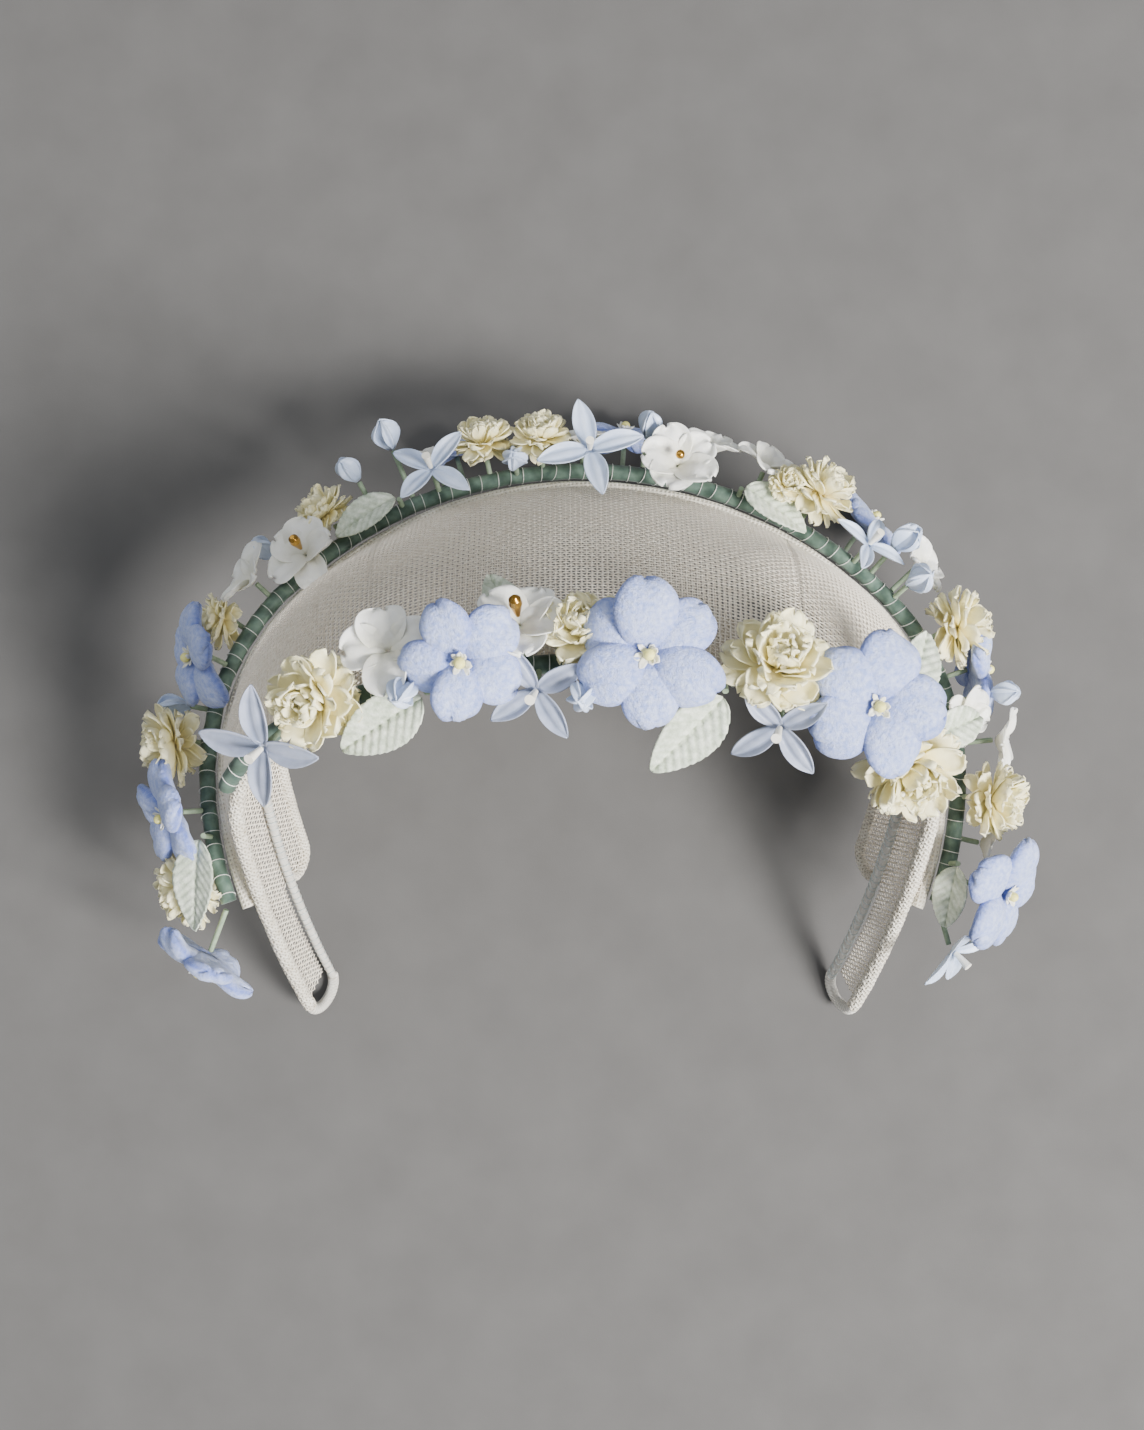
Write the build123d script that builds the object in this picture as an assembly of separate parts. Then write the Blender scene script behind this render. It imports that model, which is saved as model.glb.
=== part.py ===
from build123d import *
import math
import os

# A wired half hat of sinamay mesh with two garlands of cloth flowers, in millimetres.
# It stands on the two feet of its headband, +Z up, +Y towards the back of the crown, +X across.

# ---- headband: two wire rails side by side, bent into an arch and joined by hairpins at the feet
BAND_HALF_WIDTH = 68.0       # from the middle to the front rail's wire at the widest place
FOOT_INSET = 5.5             # how far each foot stands in from that
BAND_HEIGHT = 118.0          # height of the whole arch, along the arch
BAND_ROUND = 50.0            # how much of it is above the widest place
BAND_SHOULDER = 44.0         # radius between leg and crown of the arch
BAND_TILT = 50.0             # degrees between the arch's plane and the table
RIB_SETBACK = 8.0            # from the front rail to the rib, square to the arch's plane
BACK_SETBACK = 18.0          # from the front rail to the band's back edge
BAND_TAPER = 0.33            # how far the band closes in for each millimetre of setback
LOBE_HEIGHT = 38.0           # where the back edge turns in towards the rib

# ---- crown: a second arch that starts beside the headband and runs round the back
MERGE_HEIGHT = 41.0          # where the two arches meet, along the headband's arch
CROWN_HALF_WIDTH = 76.0
CROWN_HEIGHT = 90.0
CROWN_ROUND = 60.5           # how much of it is above the widest place, along the crown's arch
CROWN_SHOULDER = 50.0
CROWN_TILT = -6.0
CROWN_FLARE = 7.0            # how far the crown's mesh hangs below a straight run between its edges
CROWN_OPEN = 5.0             # height above each merge where the crown's mesh starts
CROWN_FANS = 4               # straight stretches from front to back in the crown's mesh

# ---- sections
WIRE = 1.2                   # diameter of the millinery wire
FRONT_BINDING = 3.0          # outer diameters of what is wrapped round the wires
RIB_WRAP = 1.9
TIP_WRAP = 2.6
EDGE_BINDING = 2.4
CROWN_BINDING = 2.8
STEM = 3.4                   # a taped flower stem
STEM_CORE = 2.0              # the bundle of wires inside it
WRAP_GAP = 0.03              # between a wire and what is wrapped round it, on each side
MESH = 0.5                   # thickness of one layer of mesh
MESH_GAP = 0.1               # between a layer of mesh and what it is sewn to
STALK = 1.1                  # diameter of a flower's own stalk
STALK_GAP = 0.5              # between a stalk's end and the back of its flower
THREAD = 0.3                 # thickness of the sewing thread
RIB_STITCH_PITCH = 4.0
STEM_STITCH_PITCH = 5.0
INNER_STEM_HEIGHT = 86.0     # where the inner stem's ends are, along the headband's arch
STEM_LEAN = 45.0             # degrees that the inner stem sits round to the front of its rail
OUTER_STEM_HEIGHT = 1.0      # the same for the outer stem, along the crown's arch


# ---- flowers. Each stands on its own stalk, and these are the sizes of its stiff heart
HEART = 0.8                  # the heart's share of the whole flower's radius
VELVET_DEPTH = 0.42          # depths from back to front, as shares of the heart's radius
MUM_DEPTH = 1.2
CUP_DEPTH = 0.5
STAR_PLATE = 0.9
LEAF_PLATE = 0.8
STAMEN = 2.0                 # diameter of a round stamen
TEARDROP = 5.0               # length of a gold teardrop

# What stands on the stems: node, kind, radius (length of a leaf), stem, place along the stem from the
# right end in percent, degrees round the stem from outward to front, degrees towards the left end,
# reach from the stem's middle, then the way it faces (compass angle from +X, height angle), and the
# compass angle of its first petal or its tip.
BLOOMS = [
    ("velvet_flower_left", "velvet5", 10.5, "inner", 62, 25, 0, 8, 250, 75, 190),
    ("velvet_flower_middle", "velvet6", 12.5, "inner", 44, 25, 0, 8, 270, 82, 90),
    ("velvet_flower_right", "velvet5", 12.5, "inner", 20, 30, 0, 8, 300, 78, 70),
    ("mum_left", "mum", 8.5, "inner", 78, 25, 0, 4, 200, 60, 0),
    ("mum_middle", "mum", 7.0, "inner", 50, -25, 0, 4, 100, 55, 0),
    ("mum_centre_right", "mum", 9.0, "inner", 31, 20, 0, 5, 60, 65, 0),
    ("mum_right", "mum", 9.5, "inner", 11, 100, 0, 4, 290, 55, 0),
    ("inner_star_flowers", "star", 12.0, "inner", 85, 60, 0, 9, 230, 55, 180),
    ("inner_star_flowers", "star", 9.5, "inner", 55, 82, 0, 6, 240, 65, 215),
    ("inner_star_flowers", "star", 10.0, "inner", 28, 105, 0, 7, 240, 60, 215),
    ("white_flower_left", "cup", 8.5, "inner", 70, -10, 0, 7, 120, 60, 150),
    ("teardrop_flower_middle", "cup", 8.5, "inner", 56.5, -24, 0, 7, 100, 55, 150),
    ("leaf_left", "leaf", 18.0, "inner", 67, 75, 0, 5, 240, 70, 215),
    ("leaf_centre", "leaf", 13.0, "inner", 57, -50, 0, 5, 90, 60, 110),
    ("leaf_centre_right", "leaf", 18.0, "inner", 35, 80, 0, 5, 280, 70, 230),
    ("leaf_right", "leaf", 15.0, "inner", 14, -25, 0, 5, 30, 60, 60),
    ("leaf_far_right", "leaf", 13.0, "inner", 10, 20, 0, 5, 20, 55, 20),
    ("flower_buds", "bud", 3.0, "inner", 68, 45, 0, 7, 240, 60, 0),
    ("flower_buds", "bud", 3.0, "inner", 50, 75, 0, 7, 250, 60, 0),
    ("flower_buds", "bud", 2.0, "inner", 64, -20, 0, 8, 110, 50, 0),
    ("velvet_flower_low_left", "velvet5", 11.5, "outer", 100, -20, 45, 12, 240, 5, 300),
    ("mum_low_left", "mum", 8.5, "outer", 98, -30, 0, 4, 200, 10, 0),
    ("velvet_flower_side_left", "velvet5", 11.0, "outer", 93, 45, 0, 7, 200, 30, 330),
    ("mum_side_left", "mum", 8.5, "outer", 88, 15, 0, 4, 190, 20, 0),
    ("velvet_flower_upper_left", "velvet5", 11.0, "outer", 82, 60, 0, 8, 190, 35, 80),
    ("outer_cup_flowers", "cup", 8.0, "outer", 76, 30, 0, 6, 150, 30, 0),
    ("teardrop_flower_left", "cup", 8.5, "outer", 72, 80, 0, 6, 120, 65, 0),
    ("mum_upper_left", "mum", 6.5, "outer", 69, 0, 0, 5, 135, 15, 0),
    ("outer_leaves", "leaf", 15.0, "outer", 64, 70, 0, 5, 120, 60, 215),
    ("flower_buds", "bud", 3.0, "outer", 66, 20, 0, 10, 130, 40, 0),
    ("flower_buds", "bud", 3.5, "outer", 63, 10, 0, 13, 110, 50, 0),
    ("outer_star_flowers", "star", 10.0, "outer", 61, 65, 0, 8, 110, 60, 60),
    ("mum_top_left", "mum", 6.5, "outer", 57, 35, 0, 6, 100, 25, 0),
    ("mum_top", "mum", 6.5, "outer", 53, 50, 0, 6, 90, 35, 0),
    ("velvet_flower_top_left", "velvet5", 8.0, "outer", 59, -60, 0, 26.8, 110, 15, 20),
    ("outer_star_flowers", "star", 11.5, "outer", 49.5, 78, 0, 9, 90, 75, 100),
    ("velvet_flower_top", "velvet5", 9.0, "outer", 47, -60, 0, 25.4, 85, 15, 30),
    ("gold_centre_flower", "cup", 9.5, "outer", 43, 75, 0, 6, 80, 65, 90),
    ("outer_cup_flowers", "cup", 6.5, "outer", 41, 0, 0, 8, 70, 25, 0),
    ("outer_leaves", "leaf", 16.0, "outer", 38, 70, 0, 5, 60, 60, 320),
    ("outer_cup_flowers", "cup", 7.0, "outer", 37, 10, 0, 8, 60, 25, 0),
    ("mum_top_right", "mum", 8.0, "outer", 33, 30, 0, 6, 50, 20, 0),
    ("velvet_flower_top_right", "velvet5", 10.0, "outer", 29, -58, 0, 27.6, 40, 15, 110),
    ("outer_star_flowers", "star", 8.5, "outer", 28, 70, 0, 8, 50, 50, 60),
    ("flower_buds", "bud", 3.5, "outer", 26.5, 38, 0, 9, 40, 40, 0),
    ("flower_buds", "bud", 3.5, "outer", 24, 60, 0, 7, 30, 60, 0),
    ("outer_cup_flowers", "cup", 7.5, "outer", 24.5, -8, 0, 9, 30, 30, 0),
    ("mum_upper_right", "mum", 8.5, "outer", 20, 30, 0, 5, 15, 25, 0),
    ("velvet_flower_side_right", "velvet5", 11.0, "outer", 17, -25, 0, 8, 0, 0, 90),
    ("outer_cup_flowers", "cup", 7.5, "outer", 12, 8, 0, 8, 350, 25, 0),
    ("mum_side_right", "mum", 8.0, "outer", 8, 60, 0, 6, 350, 35, 0),
    ("velvet_flower_low_right", "velvet5", 12.0, "outer", 2, 25, 0, 10, 340, 40, 80),
    ("outer_leaves", "leaf", 14.0, "outer", 3, 85, 0, 7, 200, 50, 250),
    ("outer_leaves", "leaf", 19.0, "outer", 95, 90, 0, 9, 180, 60, 265),
    ("outer_star_flowers", "star", 10.0, "outer", 0, -20, -50, 10, 310, 30, 300),
    ("outer_cup_flowers", "cup", 6.5, "outer", 5, -25, 0, 7, 350, 20, 0),
    ("outer_cup_flowers", "cup", 6.0, "outer", 14, 75, 0, 5, 0, 60, 0),
    ("outer_cup_flowers", "cup", 6.0, "outer", 50, -25, 0, 7, 90, 15, 0),
    ("outer_cup_flowers", "cup", 6.0, "outer", 60.5, 5, 0, 7, 110, 25, 0),
    ("small_mums", "mum", 6.0, "outer", 79, -15, 0, 5, 180, 20, 0),
    ("small_mums", "mum", 4.0, "outer", 35.2, 46, 0, 7, 50, 60, 0),
    ("flower_buds", "bud", 3.0, "outer", 45.5, 20, 0, 8, 80, 40, 0),
    ("flower_buds", "bud", 3.0, "outer", 55, 85, 0, 6, 95, 70, 0),
    ("flower_buds", "bud", 3.0, "outer", 73.7, -16, 0, 8, 150, 40, 0),
    ("flower_buds", "bud", 3.5, "outer", 85.5, -35, 0, 8, 185, 20, 0),
    ("flower_buds", "bud", 3.0, "outer", 15, 20, 0, 9, 0, 40, 0),
]


class Arch:
    """Two legs, two shoulders and a crown, all tangent arcs, in the XY plane of a Plane."""

    def __init__(self, plane, half_width, foot_half_width, height, rise, shoulder):
        leg, step = height - rise, half_width - foot_half_width
        self.plane = plane
        self.leg_height = leg
        self.leg_radius = (leg**2 + step**2) / (2 * step)
        self.shoulder = shoulder
        self.crown_radius = (half_width**2 + rise**2 - 2 * half_width * shoulder) / (2 * (rise - shoulder))
        self.leg_centre = half_width - self.leg_radius
        self.shoulder_centre = half_width - shoulder
        self.crown_centre = height - self.crown_radius
        lift = leg - self.crown_centre
        self.split = math.degrees(math.atan2(lift, self.shoulder_centre))

    def foot_angle(self, height, offset):
        """(whether the arch starts in its leg, the angle there) for a start at that height."""
        radius = (self.leg_radius if height < self.leg_height else self.shoulder) + offset
        return height < self.leg_height, math.degrees(math.asin((height - self.leg_height) / radius))

    def edges(self, height=0.0, offset=0.0, setback=0.0):
        """The arch's arcs from its right foot to its left one, from that height up, offset outwards
        and set back from its plane."""
        in_leg, start = self.foot_angle(height, offset)
        shoulder_start = 0 if in_leg else start
        side = []
        if in_leg:
            side.append((self.leg_centre, self.leg_height, self.leg_radius + offset, start, -start))
        side.append((self.shoulder_centre, self.leg_height, self.shoulder + offset,
                     shoulder_start, self.split - shoulder_start))
        crown = (0, self.crown_centre, self.crown_radius + offset, self.split, 180 - 2 * self.split)
        other = [(-x, y, r, 180 - a - da, da) for x, y, r, a, da in reversed(side)]
        arcs = [Edge.make_circle(r, Plane(origin=(x, y, -setback)), a, a + da)
                for x, y, r, a, da in (*side, crown, *other)]
        return [self.plane.from_local_coords(arc) for arc in arcs]

    def foot(self, height, offset, setback, side):
        """(the point on the arch at that height, the direction down the leg there), side 1 or -1."""
        in_leg, angle = self.foot_angle(height, offset)
        x = self.leg_centre if in_leg else self.shoulder_centre
        radius = (self.leg_radius if in_leg else self.shoulder) + offset
        a = math.radians(angle)
        point = Vector(side * (x + radius * math.cos(a)), self.leg_height + radius * math.sin(a), -setback)
        down = Vector(side * math.sin(a), -math.cos(a), 0)
        return self.plane.from_local_coords(point), self.world(down)

    def world(self, direction):
        return self.plane.from_local_coords(direction) - self.plane.origin

    def half_width_at(self, height):
        return self.plane.to_local_coords(self.foot(height, 0, 0, 1)[0]).X


def rotated(tilt, origin):
    """A plane whose X is across and whose Y rises from the table by that many degrees."""
    a = math.radians(tilt)
    return Plane(origin=origin, x_dir=(1, 0, 0), z_dir=(0, -math.sin(a), math.cos(a)))


def hairpin(start, end, along):
    """Half a turn from start to end, bulging along that direction."""
    middle = (start + end) / 2 + along.normalized() * ((end - start).length / 2)
    return ThreePointArc(start, middle, end).edge()


def tube(edges, outer, inner=0.0):
    """A round rod or a sleeve along tangent edges."""
    path = Wire(edges)
    section = Plane(origin=path @ 0, z_dir=path % 0)
    solid = sweep(section * Circle(outer / 2), path=path)
    return solid - sweep(section * Circle(inner / 2), path=path) if inner else solid


def rod(start, end, diameter):
    return Solid.make_cylinder(diameter / 2, (end - start).length, Plane(origin=start, z_dir=end - start))


# ---- the two arches
thread_room = THREAD + 2 * MESH_GAP
rib_inset = BAND_TAPER * RIB_SETBACK + MESH / 2 + thread_room + RIB_WRAP / 2
back_inset = BAND_TAPER * BACK_SETBACK
sleeve_bore = WIRE + 2 * WRAP_GAP
band_arch = Arch(rotated(BAND_TILT, (0, 0, 0)), BAND_HALF_WIDTH, BAND_HALF_WIDTH - FOOT_INSET,
                 BAND_HEIGHT, BAND_ROUND, BAND_SHOULDER)
merge_point = band_arch.plane.from_local_coords(Vector(0, MERGE_HEIGHT, 0))
crown_foot = band_arch.half_width_at(MERGE_HEIGHT) + (FRONT_BINDING + CROWN_BINDING) / 2 + MESH_GAP
crown_arch = Arch(rotated(CROWN_TILT, merge_point), CROWN_HALF_WIDTH, crown_foot,
                  CROWN_HEIGHT, CROWN_ROUND, CROWN_SHOULDER)


def headband_wires():
    """The closed loop of wire in the front rail and the rib, cut where its two ends butt."""
    front = band_arch.edges()
    rib = band_arch.edges(offset=-rib_inset, setback=RIB_SETBACK)
    turns = {}
    for side in (1, -1):
        outer, down = band_arch.foot(0, 0, 0, side)
        inner, _ = band_arch.foot(0, -rib_inset, RIB_SETBACK, side)
        turns[side] = hairpin(outer, inner, down)
    middle = len(rib) // 2
    crown = rib[middle]
    ends = crown.trim(0.0, 0.499), crown.trim(0.501, 1.0)
    path = [ends[1], *rib[middle + 1:], turns[-1], *front, turns[1], *rib[:middle], ends[0]]
    return {
        "frame_wire": tube(path, WIRE),
        "front_edge_binding": tube(front, FRONT_BINDING, sleeve_bore),
        "rib_cotton_wrap": tube(rib, RIB_WRAP, sleeve_bore),
        "tip_wrap_right": tube([turns[1]], TIP_WRAP, sleeve_bore),
        "tip_wrap_left": tube([turns[-1]], TIP_WRAP, sleeve_bore),
    }


def band_back_edge():
    """The wire in the band's back edge, which turns in to the rib at both ends, and its binding."""
    rib_side = RIB_SETBACK + (RIB_WRAP + EDGE_BINDING) / 2 + thread_room
    path = []
    for side in (1, -1):
        outer, down = band_arch.foot(LOBE_HEIGHT, -back_inset, BACK_SETBACK, side)
        inner, _ = band_arch.foot(LOBE_HEIGHT, -BAND_TAPER * rib_side, rib_side, side)
        across = inner - outer
        path.append(hairpin(outer, outer + across - down * across.dot(down), down))
    path[1:1] = band_arch.edges(LOBE_HEIGHT, -back_inset, BACK_SETBACK)
    return {
        "band_back_edge_wire": tube(path, WIRE),
        "band_back_edge_binding": tube(path, EDGE_BINDING, sleeve_bore),
    }


def band_mesh():
    """One tapered strip of mesh from rail to back edge, cut to its outline as seen from the side."""
    front, back = FRONT_BINDING / 2, BACK_SETBACK - EDGE_BINDING / 2 - MESH_GAP
    strip = loft([strip_face(band_arch, 0, -BAND_TAPER * setback, setback) for setback in (front, back)],
                 ruled=True)
    side_view = Plane(origin=band_arch.plane.origin, x_dir=band_arch.plane.y_dir, z_dir=band_arch.plane.x_dir)
    rib_side = RIB_SETBACK + (RIB_WRAP + EDGE_BINDING) / 2 + thread_room
    turn_radius = (BACK_SETBACK - rib_side - EDGE_BINDING) / 2 - MESH_GAP
    rib_edge = RIB_SETBACK + RIB_WRAP / 2
    upper = Pos((LOBE_HEIGHT + BAND_HEIGHT * 2) / 2, -BACK_SETBACK / 2) * Rectangle(
        2 * BAND_HEIGHT - LOBE_HEIGHT, BACK_SETBACK)
    lower = Pos(LOBE_HEIGHT / 2, -rib_edge / 2) * Rectangle(LOBE_HEIGHT + MESH, rib_edge)
    lobe = Pos(LOBE_HEIGHT, -(rib_side + BACK_SETBACK) / 2) * Circle(turn_radius)
    outline = side_view * (upper + lower + lobe)
    return {"band_mesh": strip & extrude(outline, BAND_HALF_WIDTH * 2, both=True)}


def crown_edge():
    path = crown_arch.edges()
    return {
        "crown_edge_wire": tube(path, WIRE),
        "crown_edge_binding": tube(path, CROWN_BINDING, sleeve_bore),
    }


def strip_face(arch, height, offset, setback):
    """A narrow closed outline along an arch from that height up, as thick as a layer of mesh."""
    outer = arch.edges(height, offset + MESH / 2, setback)
    inner = arch.edges(height, offset - MESH / 2, setback)
    ends = [Edge.make_line(outer[0] @ 0, inner[0] @ 0), Edge.make_line(outer[-1] @ 1, inner[-1] @ 1)]
    return Face(Wire([*outer, *inner, *ends]))


def between(share):
    """An arch in a plane that lies that share of the way from the headband's to the crown's."""
    def mix(front, back):
        return front + (back - front) * share
    front_height = BAND_HEIGHT - MERGE_HEIGHT
    sag = CROWN_FLARE * 4 * share * (1 - share)
    return Arch(rotated(mix(BAND_TILT, CROWN_TILT), merge_point),
                mix(BAND_HALF_WIDTH, CROWN_HALF_WIDTH), mix(band_arch.half_width_at(MERGE_HEIGHT), crown_foot),
                mix(front_height, CROWN_HEIGHT) - sag, mix(BAND_ROUND, CROWN_ROUND) - sag,
                mix(BAND_SHOULDER, CROWN_SHOULDER))


def crown_mesh(level):
    """One layer of the crown's mesh, that far outside the middle of the two layers."""
    front_room = FRONT_BINDING / 2 + thread_room
    sections = [strip_face(band_arch, MERGE_HEIGHT + CROWN_OPEN, level, front_room)]
    sections += [strip_face(between(i / CROWN_FANS), CROWN_OPEN, level, 0) for i in range(1, CROWN_FANS)]
    sections.append(strip_face(crown_arch, CROWN_OPEN, level - CROWN_BINDING / 2 - thread_room, 0))
    return loft(sections, ruled=True)


def stem_paths():
    """{row: (the arcs of a stem's middle line, the arch that it follows)}"""
    inner_gap = (FRONT_BINDING + STEM) / 2 + thread_room
    lean = math.radians(STEM_LEAN)
    inner = band_arch.edges(INNER_STEM_HEIGHT, inner_gap * math.cos(lean), -inner_gap * math.sin(lean))
    outer = crown_arch.edges(OUTER_STEM_HEIGHT, (CROWN_BINDING + STEM) / 2 + thread_room)
    return {"inner": (inner, band_arch), "outer": (outer, crown_arch)}


def stems():
    """A bundle of wires bound with tape, one along each arch."""
    nodes = {}
    for row, (edges, _) in stem_paths().items():
        nodes[f"{row}_stem_wires"] = tube(edges, STEM_CORE)
        nodes[f"{row}_stem_tape"] = tube(edges, STEM, STEM_CORE + 2 * WRAP_GAP)
    return nodes


def thread_loop(path, t, diameter):
    """One turn of thread round a rod of that diameter, at a place along its path."""
    radius = diameter / 2 + MESH_GAP / 2
    ring = Plane(origin=path @ t, z_dir=path % t) * (Circle(radius + THREAD) - Circle(radius))
    return extrude(ring, THREAD / 2, both=True)


def stitches():
    """Turns of thread round the rib and round each stem."""
    rib = Wire(band_arch.edges(offset=-rib_inset, setback=RIB_SETBACK))
    count = round(rib.length / RIB_STITCH_PITCH)
    nodes = {"rib_stitches": Compound([thread_loop(rib, (i + 0.5) / count, RIB_WRAP) for i in range(count)])}
    stem_loops = []
    for edges, _ in stem_paths().values():
        stem = Wire(edges)
        count = round(stem.length / STEM_STITCH_PITCH)
        stem_loops += [thread_loop(stem, (i + 0.5) / count, STEM) for i in range(count)]
    nodes["stem_stitches"] = Compound(stem_loops)
    return nodes


def outward(arch, path, t):
    """The direction away from the inside of the arch at a place on a line along it."""
    direction = (path % t).cross(arch.plane.z_dir).normalized()
    inside = arch.plane.from_local_coords(Vector(0, arch.leg_height, 0))
    return direction if direction.dot(path @ t - inside) > 0 else direction * -1


def velvet_heart(radius, petals):
    """Padded petals round a hub, on a short neck."""
    depth = VELVET_DEPTH * radius
    outline = Circle(radius * 0.4)
    for i in range(petals):
        outline += Rot(0, 0, 360 / petals * i) * Pos(radius * 0.6) * Ellipse(radius * 0.4, radius * 0.36)
    return Pos(0, 0, depth / 2) * extrude(outline, depth / 2) + Solid.make_cone(1, radius * 0.4, depth / 2)


def mum_heart(radius):
    """A ball of petals, flat in front."""
    depth = MUM_DEPTH * radius
    side = [(0, 0), (radius * 0.3, 0), (radius, depth * 0.5), (radius * 0.75, depth), (0, depth)]
    return revolve(Plane.XZ * make_face(Polyline(*side, close=True)), Axis.Z)


def cup_heart(radius):
    return Solid.make_cone(radius * 0.3, radius, CUP_DEPTH * radius)


def star_heart(radius):
    """Four narrow petals round a hub, on a short neck."""
    outline = Circle(radius * 0.2)
    for i in range(4):
        petal = make_hull([*Circle(radius * 0.08).edges(), *(Pos(radius * 0.5) * Circle(radius * 0.2)).edges(),
                           *(Pos(radius * 0.96) * Circle(radius * 0.04)).edges()])
        outline += Rot(0, 0, 90 * i) * petal
    return Pos(0, 0, STAR_PLATE) * extrude(outline, STAR_PLATE) + Solid.make_cone(0.6, 1.6, STAR_PLATE)


def leaf_heart(length):
    """A leaf from its stalk to its tip along +X, with a wired rib on its back."""
    outline = make_hull([*(Pos(0.8) * Circle(0.6)).edges(), *(Pos(length * 0.4) * Circle(length * 0.24)).edges(),
                         *(Pos(length - 0.3) * Circle(0.3)).edges()])
    rib = Pos(length * 0.4, 0, LEAF_PLATE / 2) * Box(length * 0.6, 1, LEAF_PLATE)
    return Pos(0, 0, LEAF_PLATE) * extrude(outline, LEAF_PLATE) + rib


def bud_heart(radius):
    return Solid.make_cone(radius * 0.4, radius, radius) + Pos(0, 0, radius) * Solid.make_cone(
        radius, radius * 0.45, radius * 0.9)


def heart_of(kind, size):
    """(the solid with its back on the origin and facing +Z, its depth)"""
    radius = size * HEART
    if kind.startswith("velvet"):
        return velvet_heart(radius, int(kind[-1])), VELVET_DEPTH * radius
    if kind == "mum":
        return mum_heart(radius), MUM_DEPTH * radius
    if kind == "cup":
        return cup_heart(radius), CUP_DEPTH * radius
    if kind == "star":
        return star_heart(size), 2 * STAR_PLATE
    if kind == "leaf":
        return leaf_heart(size), 2 * LEAF_PLATE
    return bud_heart(size), 1.9 * size


def compass(angle, height=0.0):
    a, h = math.radians(angle), math.radians(height)
    return Vector(math.cos(h) * math.cos(a), math.cos(h) * math.sin(a), math.sin(h))


def teardrop():
    """A gold bead drawn out into its stalk."""
    bead = TEARDROP * 0.23
    side = [(0, 0), (bead * 0.35, 0), (bead, TEARDROP - bead * 1.6), (bead * 0.9, TEARDROP - bead * 0.6),
            (bead * 0.4, TEARDROP), (0, TEARDROP)]
    return revolve(Plane.XZ * make_face(Polyline(*side, close=True)), Axis.Z)


def flowers():
    """Every flower, leaf and bud on its stem, with their stalks and what stands in their middles."""
    paths = {row: (Wire(edges), arch) for row, (edges, arch) in stem_paths().items()}
    groups = {"flower_stalks": []}
    for node, kind, size, row, percent, swing, lean, reach, azimuth, elevation, point in BLOOMS:
        path, arch = paths[row]
        t, swing, lean = percent / 100, math.radians(swing), math.radians(lean)
        away = outward(arch, path, t) * math.cos(swing) + arch.plane.z_dir * math.sin(swing)
        away = away * math.cos(lean) + (path % t) * math.sin(lean)
        base = path @ t + away * reach
        facing = compass(azimuth, elevation)
        first = compass(point)
        first = Vector(0, 0, 1) if abs(first.dot(facing)) > 0.95 else first
        place = Plane(origin=base, x_dir=first - facing * first.dot(facing), z_dir=facing)
        heart, depth = heart_of(kind, size)
        groups.setdefault(node, []).append(place * heart)
        groups["flower_stalks"].append(rod(path @ t + away * (STEM / 2 + MESH_GAP), base - away * STALK_GAP, STALK))
        middle = Plane(origin=base + facing * (depth + MESH_GAP), x_dir=place.x_dir, z_dir=facing)
        if kind.startswith("velvet"):
            groups.setdefault("yellow_stamens", []).append(middle * Pos(0, 0, STAMEN / 2) * Sphere(STAMEN / 2))
        elif kind == "star":
            groups.setdefault("star_pistils", []).append(middle * Solid.make_cone(0.5, 0.9, 4))
        elif "teardrop" in node:
            groups.setdefault("gold_stamens", []).append(middle * teardrop())
        elif "gold" in node:
            groups.setdefault("gold_stamens", []).append(middle * Pos(0, 0, STAMEN / 2) * Sphere(STAMEN / 2))
    return {node: solids[0] if len(solids) == 1 else Compound(solids) for node, solids in groups.items()}


def assembly():
    """{node: its solid or solids} standing on the table, over the middle of the whole model's box."""
    half = (MESH + MESH_GAP) / 2
    nodes = {**headband_wires(), **band_back_edge(), **band_mesh(), **crown_edge(),
             "crown_mesh_upper": crown_mesh(half), "crown_mesh_lower": crown_mesh(-half),
             **stems(), **stitches(), **flowers()}
    boxes = [shape.bounding_box() for shape in nodes.values()]
    low = Vector(*(min(tuple(box.min)[axis] for box in boxes) for axis in range(3)))
    high = Vector(*(max(tuple(box.max)[axis] for box in boxes) for axis in range(3)))
    to_origin = Pos(-(low.X + high.X) / 2, -(low.Y + high.Y) / 2, -low.Z)
    return {node: to_origin * shape for node, shape in nodes.items()}


if __name__ == "__main__":
    os.makedirs("parts", exist_ok=True)
    for name, shape in assembly().items():
        export_step(shape, f"parts/{name}.step")
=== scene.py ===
import math

import bpy
import numpy as np
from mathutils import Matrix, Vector


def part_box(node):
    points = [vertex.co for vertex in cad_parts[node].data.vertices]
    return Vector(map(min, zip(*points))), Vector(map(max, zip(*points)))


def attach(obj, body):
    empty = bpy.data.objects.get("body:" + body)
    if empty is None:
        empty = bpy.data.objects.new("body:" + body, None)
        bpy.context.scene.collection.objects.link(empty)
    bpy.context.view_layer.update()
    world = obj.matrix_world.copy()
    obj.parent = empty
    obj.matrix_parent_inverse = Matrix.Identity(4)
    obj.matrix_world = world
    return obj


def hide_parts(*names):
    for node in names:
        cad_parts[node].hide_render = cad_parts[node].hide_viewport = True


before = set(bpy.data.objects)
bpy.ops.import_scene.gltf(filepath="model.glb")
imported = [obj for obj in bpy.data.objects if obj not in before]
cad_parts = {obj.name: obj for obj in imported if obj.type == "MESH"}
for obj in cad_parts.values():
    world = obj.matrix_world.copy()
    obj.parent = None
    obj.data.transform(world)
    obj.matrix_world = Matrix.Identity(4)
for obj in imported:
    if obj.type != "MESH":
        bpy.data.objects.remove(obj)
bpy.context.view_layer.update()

rng = np.random.default_rng(7)
MM = 0.001                   # metres
TABLE_GAP = 0.3 * MM         # what reaches the table stays this far above it

# ---------------------------------------------------------------- materials


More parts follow.
